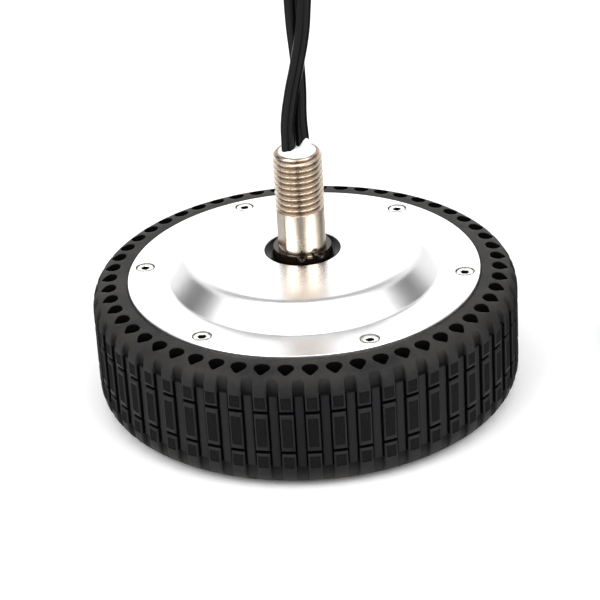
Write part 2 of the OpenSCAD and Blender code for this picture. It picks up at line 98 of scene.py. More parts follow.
# ------------------------------------------------------------------ sizes, in millimetres
CABLE_D = 4.6
COIL_X, COIL_R, COIL_R2 = 138, 23.0, 27.65           # middle of the coils and their two radii
COIL_H = heights("phase_coil")[1]
TREAD_R = 70.0
MID_Z = sum(heights("tyre")) / 2
AXLE_R, AXLE_TOP, ROOT_R, BORE_R = 8.0, heights("axle")[1], 6.73, 5.25
FLAT_LOW, FLAT_TOP, RUN_OUT = 51.0, 64.5, 63.2       # the flats, and where the thread begins to fade
FLAT_HALF, FLAT_TURN = 7.0, math.radians(199)
COVER_TOP, RIM_TOP = heights("front_cover")[1], 41.5
SCREW_R, SCREWS, SCREW_PHASE = 53.05, 6, math.radians(-8.7)
SCREW_LOW, HEAD_LOW, HEAD_TOP = 28.5, 38.3, 41.3


# ------------------------------------------------------------------ materials
def new_material(name):
    m = bpy.data.materials.new(name)
    m.use_nodes = True
    nt = m.node_tree
    return m, nt, nt.nodes["Principled BSDF"]


def node(nt, kind, **values):
    """A shader node with its properties and its inputs' values set by name."""
    n = nt.nodes.new(kind)
    for k, v in values.items():
        if hasattr(n, k):
            setattr(n, k, v)
        else:
            n.inputs[k.replace("_", " ")].default_value = v
    return n


def tint(c, k):
    """A colour made lighter or darker by a factor."""
    return [min(1.0, x * k) for x in c[:3]] + [1]


def blend_colour(nt, mask, colour):
    """Mixes a colour over a material's base colour by a mask."""
    base = nt.nodes["Principled BSDF"].inputs["Base Color"]
    mix = node(nt, "ShaderNodeMix", data_type="RGBA")
    nt.links.new(mask, mix.inputs["Factor"])
    nt.links.new(base.links[0].from_socket, mix.inputs[6])
    mix.inputs[7].default_value = colour
    nt.links.new(mix.outputs[2], base)


def calc(nt, operation, a, b=None):
    """A Math node on one or two sockets, or on a socket and a number."""
    n = node(nt, "ShaderNodeMath", operation=operation)
    nt.links.new(a, n.inputs[0])
    if isinstance(b, float):
        n.inputs[1].default_value = b
    elif b is not None:
        nt.links.new(b, n.inputs[1])
    return n.outputs[0]


def span(nt, source, low, high):
    """Goes from 0 to 1 while the source goes from low to high."""
    n = node(nt, "ShaderNodeMapRange")
    n.inputs["From Min"].default_value, n.inputs["From Max"].default_value = low, high
    nt.links.new(source, n.inputs["Value"])
    return n.outputs["Result"]


def surface(name, base, rough, metallic=0.0, vary=0.12, grain=900, rough_vary=0.08, bump=0.15, depth=0.00005,
            blotch=60, **sockets):
    """A material with fine grain, slower blotches of tone and a little relief."""
    m, nt, bsdf = new_material(name)
    link = nt.links.new
    coord = node(nt, "ShaderNodeTexCoord")
    fine = node(nt, "ShaderNodeTexNoise", Scale=grain, Detail=4.0, Roughness=0.6)
    slow = node(nt, "ShaderNodeTexNoise", Scale=blotch, Detail=3.0, Roughness=0.5)
    link(coord.outputs["Object"], fine.inputs["Vector"])
    link(coord.outputs["Object"], slow.inputs["Vector"])
    both = node(nt, "ShaderNodeMix", data_type="FLOAT")
    both.inputs[0].default_value = 0.5
    link(fine.outputs["Fac"], both.inputs[2])
    link(slow.outputs["Fac"], both.inputs[3])
    ramp = node(nt, "ShaderNodeValToRGB")
    ramp.color_ramp.elements[0].position, ramp.color_ramp.elements[1].position = 0.32, 0.68
    ramp.color_ramp.elements[0].color = tint(base, 1 - vary)
    ramp.color_ramp.elements[1].color = tint(base, 1 + vary)
    link(both.outputs[0], ramp.inputs["Fac"])
    link(ramp.outputs["Color"], bsdf.inputs["Base Color"])
    spread = node(nt, "ShaderNodeMapRange")
    spread.inputs["From Min"].default_value, spread.inputs["From Max"].default_value = 0.3, 0.7
    spread.inputs["To Min"].default_value = max(0.02, rough - rough_vary)
    spread.inputs["To Max"].default_value = min(1.0, rough + rough_vary)
    link(both.outputs[0], spread.inputs["Value"])
    link(spread.outputs["Result"], bsdf.inputs["Roughness"])
    relief = node(nt, "ShaderNodeBump", Strength=bump, Distance=depth)
    link(fine.outputs["Fac"], relief.inputs["Height"])
    link(relief.outputs["Normal"], bsdf.inputs["Normal"])
    bsdf.inputs["Metallic"].default_value = metallic
    for k, v in sockets.items():
        bsdf.inputs[k.replace("_", " ")].default_value = v
    return m


def turned_steel(name):
    """Plated steel with turning marks: painted brown shade in the thread's valleys, stretched highlights
    round the axle.
    """
    m = surface(name, (0.57, 0.485, 0.4), 0.25, 1.0, vary=0.06, grain=1400, blotch=120, bump=0.03,
                depth=0.00001)
    nt = m.node_tree
    link = nt.links.new
    coord = node(nt, "ShaderNodeTexCoord")
    split = node(nt, "ShaderNodeSeparateXYZ")
    flat = node(nt, "ShaderNodeCombineXYZ")
    link(coord.outputs["Object"], split.inputs[0])
    link(split.outputs["X"], flat.inputs["X"])
    link(split.outputs["Y"], flat.inputs["Y"])
    radius = node(nt, "ShaderNodeVectorMath", operation="LENGTH")
    link(flat.outputs[0], radius.inputs[0])
    # painted shade: the thread's valleys are coloured dark brown where the radius drops below the crests
    valley_shade = span(nt, radius.outputs["Value"], 0.0074, 0.0067)
    threaded = calc(nt, "GREATER_THAN", split.outputs["Z"], FLAT_TOP * MM)
    blend_colour(nt, calc(nt, "MULTIPLY", valley_shade, threaded), (0.25, 0.18, 0.125, 1))
    bsdf = nt.nodes["Principled BSDF"]
    tangent = node(nt, "ShaderNodeTangent", direction_type="RADIAL", axis="Z")
    link(tangent.outputs[0], bsdf.inputs["Tangent"])
    bsdf.inputs["Anisotropic"].default_value = 0.75
    return m


def moulded_rubber(name):
    """Moulded rubber: dull, with a dusty brown cast on the shoulder and painted shade in the notches."""
    m = surface(name, (0.0095, 0.0095, 0.01), 0.58, vary=0.3, grain=900, rough_vary=0.1, blotch=40, bump=0.3,
                depth=0.00008, Specular_IOR_Level=0.16)
    nt = m.node_tree
    coord = node(nt, "ShaderNodeTexCoord")
    split = node(nt, "ShaderNodeSeparateXYZ")
    nt.links.new(coord.outputs["Object"], split.inputs[0])
    aside = calc(nt, "ABSOLUTE", calc(nt, "SUBTRACT", split.outputs["Z"], MID_Z * MM))
    xx = calc(nt, "MULTIPLY", split.outputs["X"], split.outputs["X"])
    yy = calc(nt, "MULTIPLY", split.outputs["Y"], split.outputs["Y"])
    radius = calc(nt, "SQRT", calc(nt, "ADD", xx, yy))
    dust = node(nt, "ShaderNodeTexNoise", Scale=55.0, Detail=5.0, Roughness=0.7)
    nt.links.new(coord.outputs["Object"], dust.inputs["Vector"])
    dusty = span(nt, dust.outputs["Fac"], 0.35, 0.75)
    blend_colour(nt, calc(nt, "MULTIPLY", span(nt, aside, 0.013, 0.019), dusty), (0.034, 0.031, 0.026, 1))
    low = calc(nt, "MULTIPLY", calc(nt, "LESS_THAN", aside, 0.0127), span(nt, radius, 0.0695, 0.0691))
    blend_colour(nt, low, (0.0075, 0.0075, 0.0088, 1))
    # painted shade: near-black colour in the notches, deepest toward their lower ends
    notch_shade = calc(nt, "MULTIPLY", calc(nt, "GREATER_THAN", aside, 0.0126), span(nt, radius, 0.0694, 0.0684))
    notch_shade = calc(nt, "MULTIPLY", notch_shade, span(nt, aside, 0.0168, 0.0136))
    blend_colour(nt, notch_shade, (0.003, 0.003, 0.003, 1))
    return m


# one material for each slot of the record
MAT = {
    "nickel_steel": turned_steel("nickel_steel"),
    "key_steel": surface("key_steel", (0.35, 0.35, 0.36), 0.35, 1.0),
    "cast_aluminium": surface("cast_aluminium", (0.6, 0.61, 0.62), 0.5, 1.0, bump=0.35),
    "laminations": surface("laminations", (0.22, 0.23, 0.25), 0.45, 1.0),
    "insulator": surface("insulator", (0.8, 0.78, 0.68), 0.5),
    "copper_wire": surface("copper_wire", (0.72, 0.25, 0.08), 0.3, 0.8, vary=0.2),
    "phase_wire": surface("phase_wire", (0.75, 0.5, 0.05), 0.5),
    "hall_wire": surface("hall_wire", (0.55, 0.04, 0.03), 0.5),
    "circuit_board": surface("circuit_board", (0.02, 0.2, 0.06), 0.35),
    "sensor_body": surface("sensor_body", (0.02, 0.02, 0.02), 0.4),
    "bearing_steel": surface("bearing_steel", (0.7, 0.7, 0.7), 0.12, 1.0, vary=0.04),
    "black_oxide": surface("black_oxide", (0.024, 0.016, 0.012), 0.15, 0.6, vary=0.3),
    "silicone": surface("silicone", (0.9, 0.9, 0.885), 0.32, vary=0.015, grain=500, bump=0.2, depth=0.0001,
                        Subsurface_Weight=0.25, Subsurface_Scale=0.002),
    "cable_jacket": surface("cable_jacket", (0.003, 0.003, 0.0032), 0.24, vary=0.25, grain=1500, bump=0.06,
                            Specular_IOR_Level=0.14),
    "tie_nylon": surface("tie_nylon", (0.6, 0.6, 0.58), 0.4, vary=0.03),
    "plug_nylon": surface("plug_nylon", (0.62, 0.6, 0.53), 0.42, vary=0.03, Subsurface_Weight=0.15,
                          Subsurface_Scale=0.002),
    "drum_aluminium": surface("drum_aluminium", (0.6, 0.61, 0.62), 0.38, 1.0, vary=0.06),
    "flux_steel": surface("flux_steel", (0.2, 0.2, 0.21), 0.4, 1.0),
    "magnet_nickel": surface("magnet_nickel", (0.55, 0.55, 0.54), 0.22, 1.0, vary=0.05),
    "black_rubber": surface("black_rubber", (0.02, 0.02, 0.02), 0.45),
    "seal_rubber": surface("seal_rubber", (0.002, 0.002, 0.002), 0.16, vary=0.2, rough_vary=0.03, grain=600,
                           bump=0.04, Specular_IOR_Level=0.05),
    "screw_steel": surface("screw_steel", (0.86, 0.84, 0.81), 0.22, 1.0, vary=0.04, grain=2500),
    "spring_steel": surface("spring_steel", (0.4, 0.41, 0.42), 0.3, 1.0),
    "cap_plastic": surface("cap_plastic", (0.03, 0.03, 0.03), 0.45),
    "cage_steel": surface("cage_steel", (0.5, 0.46, 0.36), 0.3, 1.0),
    "ball_steel": surface("ball_steel", (0.75, 0.75, 0.76), 0.06, 1.0, vary=0.02, rough_vary=0.02),
    "cover_aluminium": surface("cover_aluminium", (0.94, 0.94, 0.942), 0.305, 1.0, vary=0.03, grain=2400,
                               blotch=25, rough_vary=0.05, bump=0.55, depth=0.00006),
    "tyre_rubber": moulded_rubber("tyre_rubber"),
}
# the second materials of some pieces
SHADED_METAL = surface("shaded_metal", (0.03, 0.026, 0.022), 0.45, 0.8, vary=0.2)
BRASS = surface("terminal_brass", (0.75, 0.56, 0.27), 0.25, 1.0, vary=0.08)
RUBBER_SHADE = surface("rubber_shade", (0.0016, 0.0016, 0.0017), 0.8, vary=0.3, grain=900,
                       Specular_IOR_Level=0.03)
# darker rubber on the textured patches: painted shade for the light that their fine texture traps
RUBBER_PATCH_SHADE = surface("rubber_patch_shade", (0.0055, 0.0055, 0.0057), 0.65, vary=0.3, grain=900,
                     Specular_IOR_Level=0.12)
for part in frame["record"]["subparts"]:
    slots = frame["nodes"][part["node"]].data.materials
    slots.clear()
    slots.append(MAT[part["material_slot"]])


# ------------------------------------------------------------------ mesh helpers
def link_mesh(name, verts, faces, mat, smooth_angle=40, kinds=None, extra=()):
    """A tidy mesh object; kinds gives each face its material, from mat and the extra ones."""
    me = bpy.data.meshes.new(name)
    me.from_pydata([tuple(v) for v in verts], [], faces)
    me.materials.append(mat)
    for e in extra:
        me.materials.append(e)
    if kinds is not None:
        me.polygons.foreach_set("material_index", kinds)
    o = bpy.data.objects.new(name, me)
    scene.collection.objects.link(o)
    tidy(o, smooth_angle)
    return o


def tidy(o, smooth_angle=40, weld=1e-6):
    """Welds the seams, turns every face outward and rounds the shading below an angle."""
    bm = bmesh.new()
    bm.from_mesh(o.data)
    bmesh.ops.remove_doubles(bm, verts=bm.verts, dist=weld)
    bmesh.ops.dissolve_degenerate(bm, edges=bm.edges, dist=weld / 2)
    bmesh.ops.recalc_face_normals(bm, faces=bm.faces)
    limit = math.radians(smooth_angle)
    for f in bm.faces:
        f.smooth = True
    for e in bm.edges:
        e.smooth = not (len(e.link_faces) == 2 and e.calc_face_angle(0) > limit)
    bm.to_mesh(o.data)
    bm.free()
    return o


def fillet(points, steps=5):
    """A closed outline of (x, y, radius): each corner is rounded by its radius."""
    out = []
    n = len(points)
    for i in range(n):
        p, a, b = Vector(points[i][:2]), Vector(points[i - 1][:2]), Vector(points[(i + 1) % n][:2])
        r = points[i][2] if len(points[i]) > 2 else 0
        u, v = (a - p), (b - p)
        if r <= 0 or u.length < 1e-9 or v.length < 1e-9:
            out.append(tuple(p))
            continue
        u, lu, v, lv = u.normalized(), u.length, v.normalized(), v.length
        half = u.angle(v) / 2
        t = min(r / math.tan(half), lu * 0.49, lv * 0.49)
        r = t * math.tan(half)
        c = p + (u + v).normalized() * (r / math.sin(half))
        s, e = p + u * t - c, p + v * t - c
        turn = s.angle_signed(e)
        for k in range(steps + 1):
            cos, sin = math.cos(-turn * k / steps), math.sin(-turn * k / steps)
            out.append((c.x + s.x * cos - s.y * sin, c.y + s.x * sin + s.y * cos))
    return out


def lathe(name, outline, mat, segments=192, steps=5, smooth_angle=30):
    """Turns a closed outline of (radius, height, corner radius), in millimetres."""
    prof = fillet(outline, steps)
    m = len(prof)
    verts, faces = [], []
    for i in range(segments):
        a = 2 * math.pi * i / segments
        c, s = math.cos(a), math.sin(a)
        verts += [(r * c * MM, r * s * MM, z * MM) for r, z in prof]
    for i in range(segments):
        j = (i + 1) % segments
        for k in range(m):
            after = (k + 1) % m
            faces.append((i * m + k, j * m + k, j * m + after, i * m + after))
    return link_mesh(name, verts, faces, mat, smooth_angle)


def band(a, b, count):
    """The faces between two closed rings of points that start at a and b."""
    return [(a + i, a + (i + 1) % count, b + (i + 1) % count, b + i) for i in range(count)]


def as_object(name, bm):
    """An object made from a bmesh, which is freed."""
    me = bpy.data.meshes.new(name)
    bm.to_mesh(me)
    bm.free()
    o = bpy.data.objects.new(name, me)
    scene.collection.objects.link(o)
    return o


def combine(o, others):
    """Unites an object with others or cuts them away, in their order, and removes them."""
    for other, operation in others:
        mod = o.modifiers.new("shape", "BOOLEAN")
        mod.object, mod.operation, mod.solver = other, operation, "EXACT"
    me = bpy.data.meshes.new_from_object(o.evaluated_get(bpy.context.evaluated_depsgraph_get()))
    o.modifiers.clear()
    o.data = me
    for other, operation in others:
        bpy.data.objects.remove(other)


def finish_piece(o, body, slot, *nodes):
    """Puts a piece on the body that it rides on and hides the CAD nodes that it stands for; its slot is not
    used.
    """
    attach(o, body)
    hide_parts(*nodes)
    return o


# ------------------------------------------------------------------ plugs and tie
PLUG_Z = 4                                    # height of a cable's end and of the ways
GRIPS, GRIP_STEP, GRIP_W = 3, 1.25, 0.6       # grooves across a plug's back
GRIP_TOP, GRIP_SIDE = 0.35, 0.35              # their depth at the top and at the sides
WAY_HALF, PIN_HALF = 0.6, 0.32                # half width of a square way and of its pin
TIE_TURN = -100                               # degrees round the coils
TIE_W, TIE_T, TIE_GAP = 2.6, 1.0, 0.3         # the strap's width and thickness, and its gap to the coils


def block(low, high, edge):
    """A box with rounded edges between two corners, in millimetres."""
    bm = bmesh.new()
    bmesh.ops.create_cube(bm, size=1)
    for v in bm.verts:
        v.co = [((a + b) / 2 + c * (b - a)) * MM for a, b, c in zip(low, high, v.co)]
    if edge:
        bmesh.ops.bevel(bm, geom=bm.edges[:], offset=edge * MM, segments=3, profile=0.5, affect="EDGES")
    return bm


def rod(x, low, high, z, radius, sides=32):
    """A closed rod along Y between two places, in millimetres."""
    bm = bmesh.new()
    place = Matrix.Translation(mm(x, (low + high) / 2, z)) @ Matrix.Rotation(math.pi / 2, 4, "X")
    bmesh.ops.create_cone(bm, cap_ends=True, segments=sides, radius1=radius * MM, radius2=radius * MM,
                          depth=(high - low) * MM, matrix=place)
    return bm


def post(x, low, high, half, edge):
    """A square bar along Y at the height of the ways, in millimetres."""
    return block((x - half, low, PLUG_Z - half), (x + half, high, PLUG_Z + half), edge)


def moulding(name, whole, cuts, pins, mat, place):
    """One closed moulding: solids united, others cut away, and metal pins left standing in it."""
    o = as_object(name, whole[0])
    others = [(as_object("add", bm), "UNION") for bm in whole[1:]]
    combine(o, others + [(as_object("cut", bm), "DIFFERENCE") for bm in cuts])
    me = o.data
    bm = bmesh.new()
    bm.from_mesh(me)
    plastic = len(bm.faces)
    for pin in pins:
        part = bpy.data.meshes.new("pin")
        pin.to_mesh(part)
        pin.free()
        bm.from_mesh(part)
        bpy.data.meshes.remove(part)
    bm.faces.ensure_lookup_table()
    for f in bm.faces:
        f.material_index = 0 if f.index < plastic else 1
    bmesh.ops.transform(bm, matrix=place, verts=bm.verts)
    bm.to_mesh(me)
    bm.free()
    me.materials.clear()
    me.materials.append(mat)
    me.materials.append(BRASS)
    return tidy(o, 35)


def plug(name, stands_for, body, nose, latch, ways, socket):
    """A cable plug: body, narrower nose, latch, grip grooves and a row of ways with a pin in each.

    The ways are round, with the radius that socket gives, or square where it is 0.
    """
    whole = [block(*body, 0.6), block(*nose, 0.4), block(*latch, 0.35), rod(0, 0, 1.8, PLUG_Z, 3.0)]
    (x0, y0, z0), (x1, y1, z1) = body
    cuts, pins = [], []
    for k in range(GRIPS):
        y = y0 + 1.4 + GRIP_STEP * k
        cuts.append(block((x0 - 1, y, z1 - GRIP_TOP), (x1 + 1, y + GRIP_W, z1 + 2), 0))
        for x in (x0 + GRIP_SIDE - 1, x1 - GRIP_SIDE + 1):
            cuts.append(block((x - 1, y, z0 - 1), (x + 1, y + GRIP_W, z1 + 2), 0))
    end = nose[1][1]
    for x in ways:
        if socket:
            cuts.append(rod(x, y1 - 2, end + 2, PLUG_Z, socket))
            pins.append(rod(x, y1 - 2.5, end - 1.5, PLUG_Z, socket * 0.6, 24))
        else:
            cuts.append(post(x, y1 + 1, end + 2, WAY_HALF, 0))
            pins.append(post(x, y1 + 0.5, end - 1, PIN_HALF, 0.08))
    place = Matrix.Translation(mm(*foot(stands_for), 0))
    o = moulding(name, whole, cuts, pins, MAT["plug_nylon"], place)
    return finish_piece(o, "stator", "plug_nylon", stands_for)


def prism(outline, half):
    """A closed outline of (x, z, corner radius) given a thickness along Y, in millimetres."""
    prof = fillet(outline, 6)
    n = len(prof)
    bm = bmesh.new()
    ends = [[bm.verts.new(mm(x, y, z)) for x, z in prof] for y in (-half, half)]
    for k in range(n):
        bm.faces.new((ends[0][k], ends[0][(k + 1) % n], ends[1][(k + 1) % n], ends[1][k]))
    bm.faces.new(ends[0][::-1])
    bm.faces.new(ends[1])
    bmesh.ops.recalc_face_normals(bm, faces=bm.faces)
    return bm


def make_tie():
    """A nylon strap over the coils, with its head on the outside and the end cut short."""
    inner = COIL_R - CABLE_D / 2 - TIE_GAP
    outer = COIL_R2 + CABLE_D / 2 + TIE_GAP
    under, over, half = COIL_H + TIE_GAP, COIL_H + TIE_GAP + 1.3, TIE_W / 2
    left, right = inner - TIE_T, outer + TIE_T
    strap = prism([(left, 0), (left, over, 2.6), (right, over, 2.6), (right, 0), (outer, 0),
                   (outer, under, 1.6), (inner, under, 1.6), (inner, 0)], half)
    head = block((outer + 0.6, -2.3, 9.5), (outer + 4.2, 2.3, 14.0), 0.5)
    tail = block((outer + 3.5, -half + 0.1, 11.2), (outer + 7.0, half - 0.1, 12.3), 0.25)
    cuts = [block((outer + 1.7, -half - 0.2, 12.7), (outer + 3.2, half + 0.2, 15.0), 0.1)]
    for k in range(8):
        x = inner + 1.5 + 0.9 * k
        cuts.append(block((x, -half + 0.45, over - 0.2), (x + 0.4, half - 0.45, over + 0.7), 0))
    place = Matrix.Translation(mm(COIL_X, 0, 0)) @ Matrix.Rotation(math.radians(TIE_TURN), 4, "Z")
    o = moulding("coil_strap", [strap, head, tail], cuts, [], MAT["tie_nylon"], place)
    return finish_piece(o, "stator", "tie_nylon", "coil_tie")


phase_plug = plug("phase_housing", "phase_plug", body=((-8, 1, 0.5), (8, 19, 7.5)),
                  nose=((-7, 18, 1), (7, 27, 7)), latch=((-1.5, 6, 7), (1.5, 18, 8.7)),
                  ways=(-4.5, 0, 4.5), socket=1.6)
hall_plug = plug("hall_housing", "hall_plug", body=((-7.5, 1, 1), (7.5, 13, 7)),
                 nose=((-6.7, 12, 1.6), (6.7, 22, 6.4)), latch=((-3, 4.5, 6.5), (3, 12, 8)),
                 ways=(-5, -2.5, 0, 2.5, 5), socket=0)
coil_tie = make_tie()


# ------------------------------------------------------------------ cables
PHASE_ROUTE = [(-2.6, -0.7, 84.5), (-2.6, -0.8, 88), (-2.4, -1.5, 95),
    (-0.8, -2.1, 105), (1.5, -2.5, 115), (3.8, -2.2, 126), (4.9, -1.2, 136), (6.2, 0, 147),
    (9, 1, 161), (15, 2, 174), (25, 3, 185), (38, 4, 193), (52, 5, 196.5), (66, 6, 196),
    (80, 8, 191), (92, 10, 182), (101, 12, 170), (107, 14, 156), (110.5, 16, 141),
    (112.5, 17.5, 126), (113.8, 19, 111), (114.6, 20, 96), (115, 20.6, 81), (115, 21, 66),
    (115, 21, 51), (115, 21, 37), (115, 19.4, 28), (115, 14.8, 21.2), (115, 8, 16.7), (115, 0, 15.1)]
HALL_ROUTE = [(2, 0.9, 84.5), (1.9, 1.2, 88), (1.6, 2, 95),
    (1.9, 2.6, 105), (1.7, 2.6, 115), (1, 3, 126), (0.8, 4, 136), (1, 5.2, 147),
    (2.6, 6.4, 161), (6.8, 7.6, 175), (15, 8.8, 188), (27, 10, 198), (41, 11, 204), (56, 12, 206),
    (71, 13, 204), (84, 14, 198), (94.5, 15, 188.5), (101.5, 16.5, 176), (105.5, 18, 162),
    (107.8, 20, 147), (109, 22, 132), (109.7, 23.5, 117), (110, 24.5, 102), (110.3, 25, 87),
    (110.3, 25, 72), (110.3, 25, 57), (110.3, 24.6, 43), (110.3, 22.4, 30), (110.3, 17, 22),
    (110.3, 9.2, 16.8), (110.3, 0, 15.1)]
PHASE_TAIL = [(161, 0, 2.4), (161, 12, 2.4), (160.6, 24, 2.4), (159.2, 36, 3.2), (157.5, 46, 4)]
HALL_TAIL = [(165.7, 0, 2.4), (166.2, 12, 2.4), (168.2, 23, 2.4), (171.4, 32, 3.2), (174, 40, 4)]


def coil_points(radius, turns=2.5, top=15.1, low=2.4, per_turn=16):
    """The turns between a route and a tail, which hold their two ends."""
    n = int(turns * per_turn)
    out = []
    for k in range(1, n):
        a = math.pi + 2 * math.pi * turns * k / n
        out.append((COIL_X + radius * math.cos(a), radius * math.sin(a), top + (low - top) * k / n))
    return out


def cable(name, route, radius, tail, nodes):
    """A round cable along its route, through its coil and out along its tail to the pieces at its far end."""
    pts = [mm(*p) for p in route + coil_points(radius) + tail]
    data = bpy.data.curves.new(name, "CURVE")
    data.dimensions = "3D"
    data.bevel_depth = CABLE_D / 2 * MM
    data.bevel_resolution = 6
    data.resolution_u = 6
    data.use_fill_caps = True
    data.materials.append(MAT["cable_jacket"])
    spline = data.splines.new("BEZIER")
    spline.bezier_points.add(len(pts) - 1)
    for b, p in zip(spline.bezier_points, pts):
        b.co = p
        b.handle_left_type = b.handle_right_type = "AUTO"
    o = bpy.data.objects.new(name, data)
    scene.collection.objects.link(o)
    bpy.context.view_layer.update()
    finish_piece(o, "stator", "cable_jacket", *nodes)


cable("phase_cord", PHASE_ROUTE, COIL_R, PHASE_TAIL, ["phase_cable", "phase_coil"])
cable("hall_cord", HALL_ROUTE, COIL_R2, HALL_TAIL, ["hall_cable", "hall_coil"])


# ------------------------------------------------------------------ tyre
HOLES = 54
PITCH = 2 * math.pi / HOLES
HOLE_PHASE = math.radians(3.4667)
HOLE_RING_R, HOLE_S = 64.4, 22.62   # the holes' circle, and how far along the outline it lies
HALF = TREAD_R * PITCH / 2
# half of the tyre's outline, as (radius, height above its middle)
SHOULDER = [(70, 0), (70, 12.5), (69.88, 14.4), (69.35, 16.2), (68.35, 17.8), (67.0, 18.95), (65.6, 19.55),
            (64.4, 19.8), (63.0, 19.95), (62, 20), (59.0, 20), (58.35, 19.9), (58.02, 19.5)]
SEAT = [(58.0, 12.0), (56.2, 11.0), (56.2, 0.0)]
WALL_FROM, WALL_TO, WALL_STEPS = 19.0, 27.0, 8  # the flat wall that the holes are in


def along(s):
    """Point and outward direction on the tyre's outline, a distance s from its middle line."""
    left = s
    for i in range(len(SHOULDER) - 1):
        a, b = Vector(SHOULDER[i]), Vector(SHOULDER[i + 1])
        d = (b - a).length
        if left <= d or i == len(SHOULDER) - 2:
            p = a + (b - a) * (left / d)
            break
        left -= d

    def tangent(k):
        k = max(0, min(len(SHOULDER) - 2, k))
        return (Vector(SHOULDER[k + 1]) - Vector(SHOULDER[k])).normalized()
    f = left / d
    t = tangent(i)
    other = tangent(i + 1) if f > 0.5 else tangent(i - 1)
    t = (t + (other - t) * abs(f - 0.5)).normalized()
    return p, Vector((t.y, -t.x))


KNURL = 0.5                   # pitch of the diamond texture on the blocks
PATCH = 1.5                   # half width of the texture
BLOCK, SLIT_FAR = 2.2, 2.6    # half width of a block, and the far side of the slit beside it
BAR_DEPTH, SLIT_DEPTH, CROSS_DEPTH, NOTCH_R = 1.05, 2.3, 1.6, 67.95
CROSS_FROM, CROSS_TO = 6.58, 7.57  # the slit across the blocks
BAR_END = 12.6
RUBBER, SHADE, PATCH_SHADE = 0, 1, 2  # material of a face: plain, inside a slit or hole, or textured and darkened with painted shade
PATCHES = ((0, 5.0), (8.6, BAR_END))
# places across a block and along the outline where the mesh has points; the rows go out from the middle
COLS = [0, 0.5, 1.0, PATCH, 1.62, 2.02, BLOCK, 2.24, 2.5, SLIT_FAR, 2.75, 3.2, HALF]
COLS = [-c for c in reversed(COLS[1:])] + COLS
ROWS = [KNURL * k for k in range(11)] + [5.12, 6.2, 6.38, 6.56, 6.6, 7.55, 7.59, 7.77, 8.48]
ROWS += [8.6 + KNURL * k for k in range(8)] + [12.55, 12.62, 12.75, 13.7, 14.6, 15.4, 16.2]
ROWS += [16.9, 17.5, 18.0, 18.4, 18.75]
WIDE = (0, 1.0, BLOCK, 3.2, HALF)  # the columns that the side wall keeps


def in_patch(x, s):
    """Whether a place is on a textured patch."""
    return abs(x) < PATCH + 0.05 and any(a - 0.01 < s < b + 0.01 for a, b in PATCHES)


def column_rows(j):
    """The rows that the strip between two columns needs: few where it is straight along the tread."""
    x = abs(COLS[j] + COLS[j + 1]) / 2
    rows = range(len(ROWS))
    if x < PATCH:
        return list(rows)
    if x > BLOCK:
        return [i for i in rows if i == 0 or ROWS[i] > BAR_END - 0.06]
    return [i for i in rows if not any(a + 0.01 < ROWS[i] < b - 0.06 for a, b in PATCHES)]


def rounded(d):
    """Depth of a block's rounded edge at a distance d inside its wall."""
    return 0.42 if d < 0.03 else 0.14 if d < 0.22 else 0.0


def tread_depth(x, s, r):
    """How far below the outline the tread lies at a place, where the outline's radius is r."""
    x = abs(x)
    if x > BLOCK + 0.01:
        if s > BAR_END:
            u = (HALF - x) / (HALF - BLOCK)
            floor_r = NOTCH_R + 1.3 * (1 - math.sqrt(max(0.0, 1 - u ** 6)))
            return max(0.0, r - floor_r)
        if x < SLIT_FAR - 0.01:
            return SLIT_DEPTH
        return BAR_DEPTH + (0.2 if x < SLIT_FAR + 0.01 else 0.04 if x < 2.8 else 0.0)
    if CROSS_FROM + 0.01 < s < CROSS_TO - 0.01:
        return CROSS_DEPTH
    if in_patch(x, s):
        return 0.3
    edge = min(BLOCK - x, abs(s - CROSS_FROM) if s < 7 else abs(s - CROSS_TO))
    if s > 15:
        edge += (s - 15) / 10
    return rounded(edge)


def hole_outline():
    """The shield shape of an air hole, as (across, outward) from its centre, in millimetres."""
    a, b = 2.55, 2.6
    right = [(1.2, -b, 1.5), (a, -1.3, 1.2), (a, 0.3, 1.4), (0.35, b, 0.9)]
    return fillet(right + [(-x, y, r) for x, y, r in reversed(right)], 4)


def ray_hit(poly, ang):
    """Where a ray from the centre meets the outline."""
    d = Vector((math.cos(ang), math.sin(ang)))
    best = None
    for i in range(len(poly)):
        p, q = Vector(poly[i - 1]), Vector(poly[i])
        e = q - p
        den = d.x * e.y - d.y * e.x
        if abs(den) < 1e-12:
            continue
        t = (p.x * e.y - p.y * e.x) / den
        u = (p.x * d.y - p.y * d.x) / den
        if t > 0 and -1e-6 <= u <= 1 + 1e-6 and (best is None or t > best):
            best = t
    return d * best


